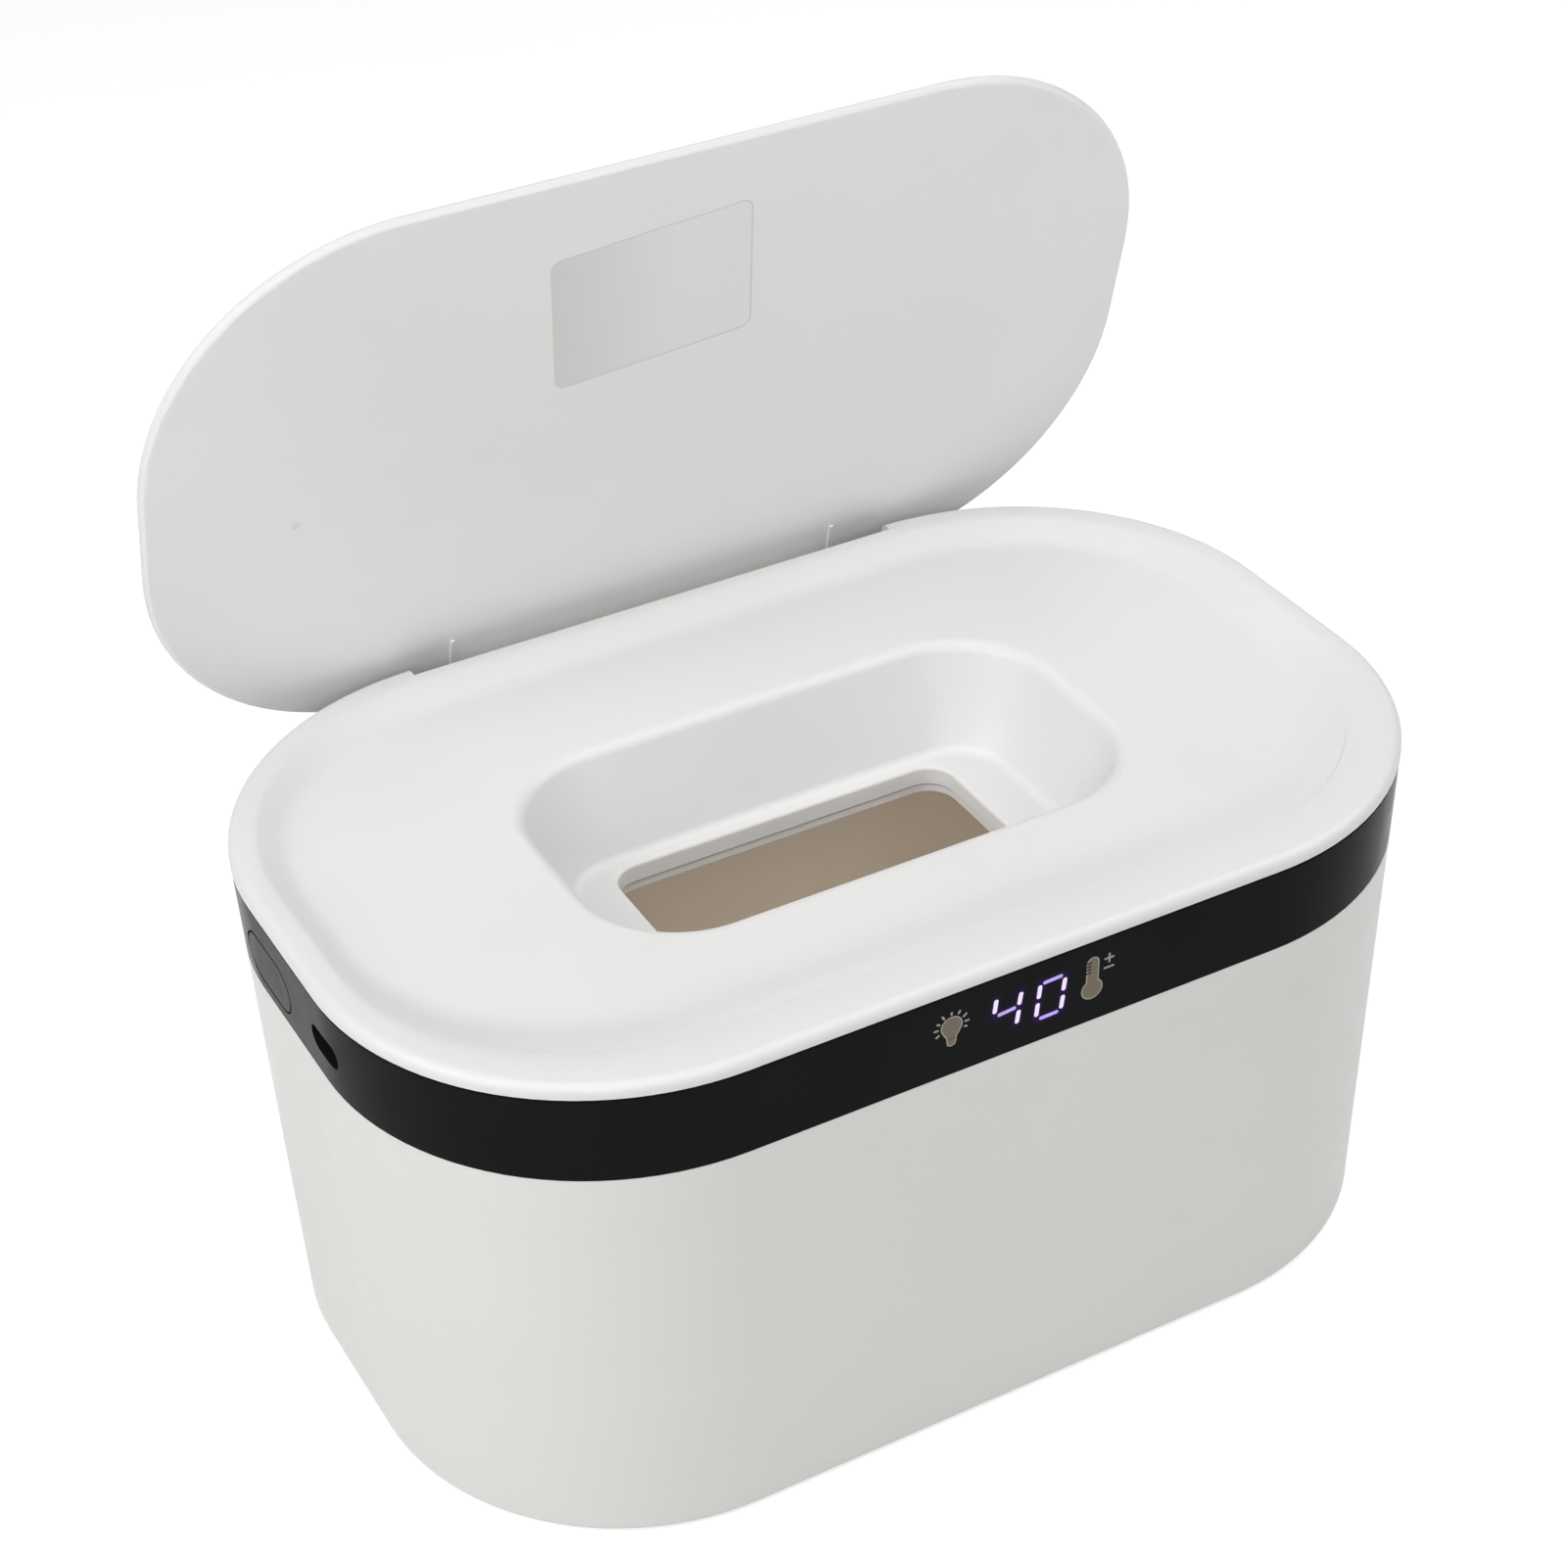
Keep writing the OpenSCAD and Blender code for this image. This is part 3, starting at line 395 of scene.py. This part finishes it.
haze_long = 20.4
haze_high = 12
haze_middle = 1.4
haze_cell = 0.2
haze_thick = 0.01
haze_reach = 0.75
haze_strength = 0.05
haze = bmesh.new()
bmesh.ops.create_grid(haze, x_segments=round(haze_long / haze_cell),
                      y_segments=round(haze_high / haze_cell), size=0.5)
bmesh.ops.scale(haze, vec=(haze_long, haze_high, 1), verts=haze.verts[:])
bmesh.ops.translate(haze, vec=(haze_middle, 0, 0), verts=haze.verts[:])
glow = haze.verts.layers.float.new("glow")
for vert in haze.verts:
    level = 0
    for start, end in upright_bars + level_bars:
        from_start = vert.co.xy - Vector(start)
        run = Vector(end) - Vector(start)
        along = max(0, min(1, from_start.dot(run) / run.length_squared))
        level += math.exp(-((from_start - along * run).length / haze_reach) ** 2)
    vert[glow] = level
raise_up(haze, haze_thick)
haze_black = glossy_black("haze_in_black")
tree, shader = tree_and_shader(haze_black)
shader.inputs["Emission Color"].default_value = (0.20, 0.03, 1.0, 1)
from_segments = tree.nodes.new("ShaderNodeAttribute")
from_segments.attribute_name = "glow"
tree.links.new(spread(tree, from_segments.outputs["Fac"], 0, haze_strength, start=0, end=1),
               shader.inputs["Emission Strength"])
finished("display_haze", haze, front_plane @ shifted(z=0.008), haze_black, "base")

# Touch keys
# A bulb with rays and a thermometer with plus and minus are printed in pale brown behind the
# gloss, each with a lighter outline.
print_thick = 0.02
key_line_width = 0.24
ray_level, line_level, fill_level, detail_level = (
    front_plane @ shifted(z=height) for height in (0.008, 0.010, 0.018, 0.024))
key_fill = behind_gloss("key_fill", (0.185, 0.160, 0.122), change=0.06)
key_line = behind_gloss("key_line", (0.36, 0.33, 0.29), change=0.06)
key_shade = behind_gloss("key_shade", (0.10, 0.09, 0.07), change=0.06)
key_gap = glossy_black("key_gap", (0.004, 0.004, 0.004))


def outline_piece(name, points, grow, place, material, handles):
    """A flat print from a closed outline, made wider all round by grow."""
    curve = bpy.data.curves.new(name, "CURVE")
    curve.dimensions = "2D"
    curve.fill_mode = "BOTH"
    curve.resolution_u = 10
    curve.extrude = print_thick / 2
    curve.offset = grow
    spline = curve.splines.new("BEZIER")
    spline.bezier_points.add(len(points) - 1)
    for point, at in zip(spline.bezier_points, points):
        point.co = (*at, 0)
        point.handle_left_type = handles
        point.handle_right_type = handles
    spline.use_cyclic_u = True
    drawn = bpy.data.objects.new(name + "_drawn", curve)
    bpy.context.scene.collection.objects.link(drawn)
    graph = bpy.context.evaluated_depsgraph_get()
    data = bpy.data.meshes.new_from_object(drawn.evaluated_get(graph))
    bpy.data.objects.remove(drawn)
    shape = bmesh.new()
    shape.from_mesh(data)
    bpy.data.meshes.remove(data)
    bmesh.ops.remove_doubles(shape, verts=shape.verts[:], dist=0.0005)
    bmesh.ops.recalc_face_normals(shape, faces=shape.faces[:])
    finished(name, shape, place, material, "base")


def key_picture(name, points, handles):
    outline_piece(name + "_line", points, 0, line_level, key_line, handles)
    outline_piece(name + "_fill", points, -key_line_width, fill_level, key_fill, handles)


bulb_x = -13.9
bulb_y = 1.80
bulb_right = [(1.55, 1.45), (2.12, 0.05), (1.62, -1.35), (1.02, -2.45), (0.92, -3.30),
              (0.66, -4.00)]
bulb = [(0, 2.13)] + bulb_right + [(-x, y) for x, y in reversed(bulb_right)]
key_picture("bulb", [(bulb_x + x, bulb_y + y) for x, y in bulb], "AUTO")
rays = (
    ((-13.96, 4.95), (-13.96, 4.25)), ((-12.24, 4.69), (-12.72, 4.02)),
    ((-10.97, 3.59), (-11.75, 2.99)), ((-10.45, 1.96), (-11.42, 1.92)),
    ((-10.84, 0.72), (-11.52, 0.95)), ((-15.80, 4.70), (-15.30, 3.85)),
    ((-16.84, 3.33), (-16.12, 3.03)), ((-17.35, 2.00), (-16.42, 1.97)),
    ((-17.00, 0.47), (-16.25, 0.88)))
bars_piece("bulb_rays", rays, width=0.40, ends=0.3, thick=print_thick, place=ray_level,
           material=key_line)
collar = (((-14.72, -0.78), (-13.08, -0.78)),)
bars_piece("bulb_collar", collar, width=0.22, ends=0.2, thick=print_thick, place=detail_level,
           material=key_shade)

tube_radius = 1.27
ball_radius = 2.16
tube_x = 13.87
ball_y = -1.60
tube_top = 5.30
neck = math.asin(tube_radius / ball_radius)


def arc(x, y, radius, start, end, steps):
    """Points on a circle, from one angle to another."""
    angles = [start + (end - start) * i / steps for i in range(steps + 1)]
    return [(x + radius * math.cos(a), y + radius * math.sin(a)) for a in angles]


ball = arc(tube_x, ball_y, ball_radius, math.pi / 2 - neck, neck - 3 * math.pi / 2, steps=20)
tube_end = arc(tube_x, tube_top - tube_radius, tube_radius, math.pi, 0, steps=12)
key_picture("thermometer", ball + tube_end, "VECTOR")
ticks = [((tube_x - 1.42, height), (tube_x - 0.30, height + 0.03))
         for height in (4.20, 3.50, 2.80, 2.10)]
bars_piece("thermometer_ticks", ticks, width=0.26, ends=0.3, thick=print_thick,
           place=detail_level, material=key_gap)
plus_and_minus = (((16.15, 3.90), (18.15, 3.90)), ((17.15, 4.09), (17.15, 4.90)),
                  ((17.15, 2.90), (17.15, 3.71)), ((16.09, 1.94), (18.23, 1.94)))
bars_piece("plus_and_minus", plus_and_minus, width=0.38, ends=0.3, thick=print_thick,
           place=ray_level, material=key_line)

# Inner tub and its sealing ring
# The tub is moulded in warm white plastic, with a faint warm glow painted in as light on its
# shaded inside. A soft silicone ring lies on its rim.
tub_painted_glow = moulded("warm_tub_painted_glow", (0.96, 0.90, 0.82), rough=0.45)
tree, shader = tree_and_shader(tub_painted_glow)
# Painted light: a faint warm glow, though the tub is no lamp.
shader.inputs["Emission Color"].default_value = (1, 0.79, 0.56, 1)
tree.links.new(spread(tree, noise(tree, scale=18), 0.034, 0.038),
               shader.inputs["Emission Strength"])
paint(tub_painted_glow, "inner_tub")
smooth_finish(nodes["inner_tub"])
paint(moulded("clear_silicone", (0.80, 0.79, 0.77), rough=0.5), "sealing_ring")
smooth_finish(nodes["sealing_ring"])

# Heating plate, film and foam
# A rolled aluminium plate lies under the tub, with an amber heating film stuck below it.
# Foam lies under the film and stands round the tub.
paint(plated("rolled_aluminium", (0.72, 0.73, 0.74), rough=0.4), "heat_spreader")
paint(moulded("amber_film", (0.50, 0.20, 0.04), rough=0.3), "heater_film")
paint(moulded("closed_foam", (0.66, 0.66, 0.63), rough=0.9, grain_scale=700,
              grain_depth=0.0002, change=0.05), "insulation_pad", "insulation_sleeve")

# Boards and what they carry
# Lacquered boards screwed behind the band, with the display, the switch of the side button,
# the inlet, the keys' springs and the lamps. A flat cable joins the boards, and two leads
# run to the heating film.
paint(moulded("board_green", (0.02, 0.13, 0.06), rough=0.35, grain_scale=900,
              grain_depth=0.00005, change=0.15), "display_board", "power_board")
paint(moulded("dark_plastic", (0.02, 0.02, 0.022), rough=0.5, grain_scale=1500, change=0.1),
      "display_module", "socket_tongue", "switch_body", "thermistor")
paint(moulded("sleeved_parts", (0.05, 0.08, 0.22), rough=0.35), "power_parts")
paint(plated("gold_spring", (0.60, 0.45, 0.18), rough=0.3), "touch_springs")
paint(moulded("lamp_resin", (0.86, 0.80, 0.58), rough=0.25), "night_light_leds")
paint(plated("inlet_metal", (0.66, 0.66, 0.66), rough=0.25), "power_socket")
paint(moulded("flat_cable", (0.50, 0.52, 0.55), rough=0.45, grain_scale=1200,
              grain_depth=0.00005, change=0.06), "ribbon_cable")
paint(moulded("lead_red", (0.38, 0.03, 0.02), rough=0.5), "heater_leads")
smooth_finish(nodes["heater_leads"])
paint(moulded("stem_cream", (0.62, 0.58, 0.46), rough=0.5), "switch_stem")

# Top frame with its liner
# White lift-off moulding: flat lip, sloped tray, tapered recess and slot. The liner is a
# second ring, screwed on below the slot.
paint(moulded("satin_white_frame", (0.68, 0.678, 0.672), rough=0.4), "top_frame", "slot_liner")
smooth_finish(nodes["top_frame"])
smooth_finish(nodes["slot_liner"])

# Seam of the liner
# The liner stands back a little below the slot's wall, and a thin shade shows at its top,
# all the way round.
liner_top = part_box("slot_liner")[1][2] * 1000
liner_long = 72
liner_wide = 38.4
liner_corner = 6
stand_off = 0.02
seam_foot = 0.68
seam = rounded_ring(liner_long - 2 * stand_off, liner_wide - 2 * stand_off,
                    liner_corner - stand_off, segments=8, wall=0.03, high=0.4)
finished("liner_seam", seam, shifted(z=liner_top - seam_foot),
         moulded("seam_shade", (0.46, 0.47, 0.49), rough=0.6), "top_frame")

# Lid
# A thin moulded plate on a wide hinge arm. Its inner face is fine matt, with a faint round
# mark from the mould, and is painted paler than the rest of the lid: painted light.
hinge_y = 60.6
hinge_z = 94.1
lid_face = 106.4
lid_middle = 5.9
open_angle = math.radians(-75)
# From a drawing on the lid's inner face, seen from the front, to its place on the open lid
on_lid = (shifted(0, hinge_y, hinge_z) @ Matrix.Rotation(open_angle, 4, "X")
          @ shifted(0, lid_middle - hinge_y, lid_face - hinge_z)
          @ Matrix.Rotation(math.pi, 4, "X"))
lid_white_painted_light = moulded("satin_white_lid_painted_light", (0.84, 0.833, 0.823), rough=0.4)
tree, shader = tree_and_shader(lid_white_painted_light)
inner_face_painted_light = shader.inputs["Base Color"].links[0].from_socket
into_plate = -on_lid.to_3x3().col[2]
depth = tree.nodes.new("ShaderNodeVectorMath")
depth.operation = "DOT_PRODUCT"
depth.inputs[1].default_value = into_plate
tree.links.new(place_on_object(tree), depth.inputs[0])
inner_face = on_lid.translation.dot(into_plate)
# Painted light: the inner face keeps the paler colour, the rest of the lid a plainer white.
below_face = spread(tree, depth.outputs["Value"], 0, 1,
                    start=inner_face + 0.0001, end=inner_face + 0.0005)
tree.links.new(two_tone(tree, below_face, inner_face_painted_light, (0.69, 0.688, 0.68)),
               shader.inputs["Base Color"])
paint(lid_white_painted_light, "lid")
smooth_finish(nodes["lid"])
mark = bmesh.new()
bmesh.ops.create_circle(mark, cap_ends=True, segments=24, radius=0.9)
raise_up(mark, 0.01)
finished("moulding_mark", mark, on_lid @ shifted(-72.9, -4.3, 0.004),
         moulded("mark_white", (0.76, 0.75, 0.74), rough=0.5), "lid")

# Sticker on the lid
# A blank label of thin silvery film with rounded corners and a fine grey edge, stuck on a
# little askew. It is paler towards its right end: a painted sheen of reflected light.
label_film_painted_gleam, tree, shader = new_material("label_film_painted_gleam")
# Painted sheen: the film is darker at its left end and paler towards its right.
painted_sheen = spread(tree, object_axis(tree, "X"), 0, 1, start=-0.026, end=0)
tree.links.new(two_tone(tree, painted_sheen, (0.68, 0.68, 0.67), (0.815, 0.808, 0.80)),
               shader.inputs["Base Color"])
uneven_gloss(tree, shader, scale=40, rough=0.38, change=0.02)
label = bmesh.new()
rounded_sheet(label, length=40, width=30, corner=2.2, segments=6)
inside = border(label, width=0.32)
for face in label.faces:
    face.material_index = 0 if face in inside else 1
raise_up(label, 0.08)
askew = Matrix.Rotation(math.radians(4.7), 4, "Z")
sticker = finished("blank_sticker", label, on_lid @ shifted(-3.9, 27.4) @ askew, label_film_painted_gleam,
                   "lid")
sticker.data.materials.append(moulded("label_edge", (0.67, 0.67, 0.66), rough=0.4))

# Floor, backdrop light and lamps
# A plain pale floor under soft studio light.
floor_data = bpy.data.meshes.new("floor")
floor_shape = bmesh.new()
bmesh.ops.create_grid(floor_shape, x_segments=1, y_segments=1, size=3)
floor_shape.to_mesh(floor_data)
floor_shape.free()
floor = bpy.data.objects.new("floor", floor_data)
bpy.context.scene.collection.objects.link(floor)


def seen_directly(tree):
    """1 for rays from the camera, in reflections and through glass; 0 for light."""
    path = tree.nodes.new("ShaderNodeLightPath")
    seen = path.outputs["Is Camera Ray"]
    for ray in ("Is Glossy Ray", "Is Transmission Ray"):
        either = tree.nodes.new("ShaderNodeMath")
        either.operation = "MAXIMUM"
        tree.links.new(seen, either.inputs[0])
        tree.links.new(path.outputs[ray], either.inputs[1])
        seen = either.outputs[0]
    return seen


floor_paper, tree, shader = new_material("floor_paper")
shader.inputs["Base Color"].default_value = (0.65, 0.65, 0.65, 1)
shader.inputs["Roughness"].default_value = 0.9
shader.inputs["Specular IOR Level"].default_value = 0.1
shader.inputs["Emission Color"].default_value = (1, 1, 1, 1)
tree.links.new(spread(tree, seen_directly(tree), 0, 0.5, start=0, end=1),
               shader.inputs["Emission Strength"])
floor_data.materials.append(floor_paper)

world = bpy.data.worlds.new("studio")
bpy.context.scene.world = world
world.use_nodes = True
world_tree = world.node_tree
sky = world_tree.nodes["Background"]
sky.inputs["Color"].default_value = (1, 1, 1, 1)
world_tree.links.new(spread(world_tree, seen_directly(world_tree), 0.25, 1.0, start=0, end=1),
                     sky.inputs["Strength"])

lamp_aim = Vector((0, 0, 0.08))
for name, place, size, power in (("key_left", (-1.1, -0.1, 0.8), 0.9, 9),
                                 ("front_fill", (-0.45, -1.0, 0.9), 1.0, 7),
                                 ("right_fill", (1.0, -0.3, 1.1), 1.0, 7),
                                 ("top_soft", (0, -0.1, 1.5), 1.2, 5)):
    lamp_data = bpy.data.lights.new(name, "AREA")
    lamp_data.shape = "SQUARE"
    lamp_data.size = size
    lamp_data.energy = power
    lamp = bpy.data.objects.new(name, lamp_data)
    facing = (lamp_aim - Vector(place)).to_track_quat("-Z", "Y")
    lamp.matrix_world = Matrix.Translation(place) @ facing.to_matrix().to_4x4()
    bpy.context.scene.collection.objects.link(lamp)
